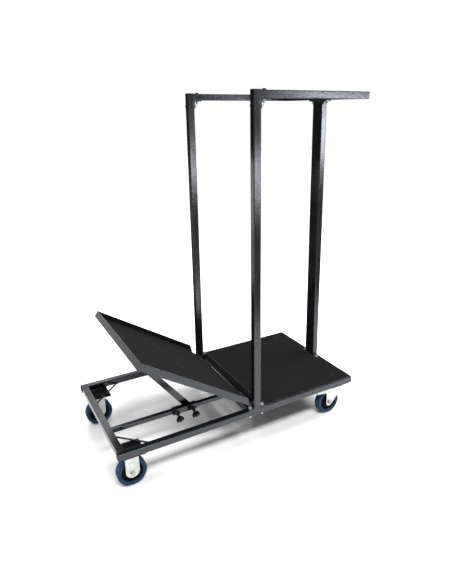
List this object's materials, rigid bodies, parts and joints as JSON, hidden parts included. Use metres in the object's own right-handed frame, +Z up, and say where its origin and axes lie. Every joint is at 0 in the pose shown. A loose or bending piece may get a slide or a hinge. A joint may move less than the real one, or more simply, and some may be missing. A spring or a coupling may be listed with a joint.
{
  "type": "chair dolly",
  "caption": "Wheeled dolly for moving stacks of chairs: decked tube base with a tall post frame, a hinged tray propped by a clamped strut, fixed and swivel casters.",
  "frame": {"origin": "on the floor, under the middle of the base", "axes": "+Z up, +X along the side rails towards the end post, -Y side carries the clamping knobs"},
  "size_m": [1.2, 0.63, 1.5633],
  "materials": {
    "painted_steel": "semi-gloss",
    "zinc_plated_steel": "bright zinc",
    "blackened_steel": "black oxide, oiled",
    "coated_board": "matt, fine texture",
    "black_plastic": "satin moulded",
    "blue_rubber": "elastic, matt"
  },
  "bodies": {
    "base": {"side_rail_near": "painted_steel", "side_rail_far": "painted_steel", "tray_end_beam": "painted_steel", "deck_end_beam": "painted_steel", "hinge_beam": "painted_steel", "deck_beam": "painted_steel", "deck_bearer": "painted_steel", "slider_rail": "painted_steel", "corner_stays": "painted_steel", "caster_pads": "painted_steel", "tube_end_caps": "black_plastic", "deck_board": "coated_board", "deck_screws": "blackened_steel", "post_near": "painted_steel", "post_far": "painted_steel", "post_end": "painted_steel", "side_post_feet": "painted_steel", "end_post_plates": "painted_steel", "top_bar_near": "painted_steel", "top_bar_far": "painted_steel", "top_bar_end": "painted_steel", "corner_brackets": "painted_steel", "frame_bolts": "zinc_plated_steel", "frame_nuts": "zinc_plated_steel", "hinge_frame_leaves": "painted_steel", "hinge_pins": "zinc_plated_steel", "fixed_fork_near": "zinc_plated_steel", "fixed_fork_far": "zinc_plated_steel", "swivel_plates": "zinc_plated_steel", "king_pins": "zinc_plated_steel", "fixed_axles": "zinc_plated_steel", "caster_bolts": "zinc_plated_steel"},
    "tray": {"tray_end_lip": "painted_steel", "tray_lip_near": "painted_steel", "tray_lip_far": "painted_steel", "tray_cross_bars": "painted_steel", "tray_board": "coated_board", "hinge_tray_leaves": "painted_steel", "strut_lug": "painted_steel"},
    "slider": {"slider_sleeve": "painted_steel", "slider_pin": "zinc_plated_steel", "knob_bosses": "painted_steel"},
    "strut": {"strut": "painted_steel", "lug_pin": "zinc_plated_steel"},
    "knob_left": {"knob_head_left": "black_plastic", "knob_stud_left": "blackened_steel"},
    "knob_right": {"knob_head_right": "black_plastic", "knob_stud_right": "blackened_steel"},
    "swivel_near": {"swivel_fork_near": "zinc_plated_steel", "swivel_axle_near": "zinc_plated_steel"},
    "swivel_far": {"swivel_fork_far": "zinc_plated_steel", "swivel_axle_far": "zinc_plated_steel"},
    "wheel_fixed_near": {"tyre_fixed_near": "blue_rubber", "rim_fixed_near": "black_plastic"},
    "wheel_fixed_far": {"tyre_fixed_far": "blue_rubber", "rim_fixed_far": "black_plastic"},
    "wheel_swivel_near": {"tyre_swivel_near": "blue_rubber", "rim_swivel_near": "black_plastic"},
    "wheel_swivel_far": {"tyre_swivel_far": "blue_rubber", "rim_swivel_far": "black_plastic"}
  },
  "joints": [
    {"name": "tray_tilt", "type": "hinge", "parent": "base", "child": "tray", "pos_m": [0.0383, 0, 0.1958], "axis": [0, 1, 0], "range_deg": [-32.6, 0]},
    {"name": "slider_travel", "type": "slide", "parent": "base", "child": "slider", "axis": [1, 0, 0], "range_m": [0, 0.0714]},
    {"name": "strut_swing", "type": "hinge", "parent": "slider", "child": "strut", "pos_m": [-0.20679, -0.085, 0.176], "axis": [0, 1, 0], "range_deg": [-52, 0]},
    {"name": "knob_turn_left", "type": "hinge", "parent": "slider", "child": "knob_left", "pos_m": [-0.26879, -0.14599, 0.15392], "axis": [0, -0.8829, -0.4695], "range_deg": [0, 360]},
    {"name": "knob_turn_right", "type": "hinge", "parent": "slider", "child": "knob_right", "pos_m": [-0.19079, -0.14599, 0.15392], "axis": [0, -0.8829, -0.4695], "range_deg": [0, 360]},
    {"name": "swivel_turn_near", "type": "hinge", "parent": "base", "child": "swivel_near", "pos_m": [0.537, -0.254, 0.14], "axis": [0, 0, 1], "continuous": true},
    {"name": "swivel_turn_far", "type": "hinge", "parent": "base", "child": "swivel_far", "pos_m": [0.537, 0.254, 0.14], "axis": [0, 0, 1], "continuous": true},
    {"name": "wheel_spin_fixed_near", "type": "hinge", "parent": "base", "child": "wheel_fixed_near", "pos_m": [-0.537, -0.254, 0.0625], "axis": [0, 1, 0], "continuous": true},
    {"name": "wheel_spin_fixed_far", "type": "hinge", "parent": "base", "child": "wheel_fixed_far", "pos_m": [-0.537, 0.254, 0.0625], "axis": [0, 1, 0], "continuous": true},
    {"name": "wheel_spin_swivel_near", "type": "hinge", "parent": "swivel_near", "child": "wheel_swivel_near", "pos_m": [0.493, -0.254, 0.0625], "axis": [0, 1, 0], "continuous": true},
    {"name": "wheel_spin_swivel_far", "type": "hinge", "parent": "swivel_far", "child": "wheel_swivel_far", "pos_m": [0.493, 0.254, 0.0625], "axis": [0, 1, 0], "continuous": true}
  ],
  "couplings": [
    {"joint": "slider_travel", "follows": "tray_tilt", "m_per_rad": -0.12494},
    {"joint": "strut_swing", "follows": "tray_tilt", "ratio": 1.589}
  ]
}
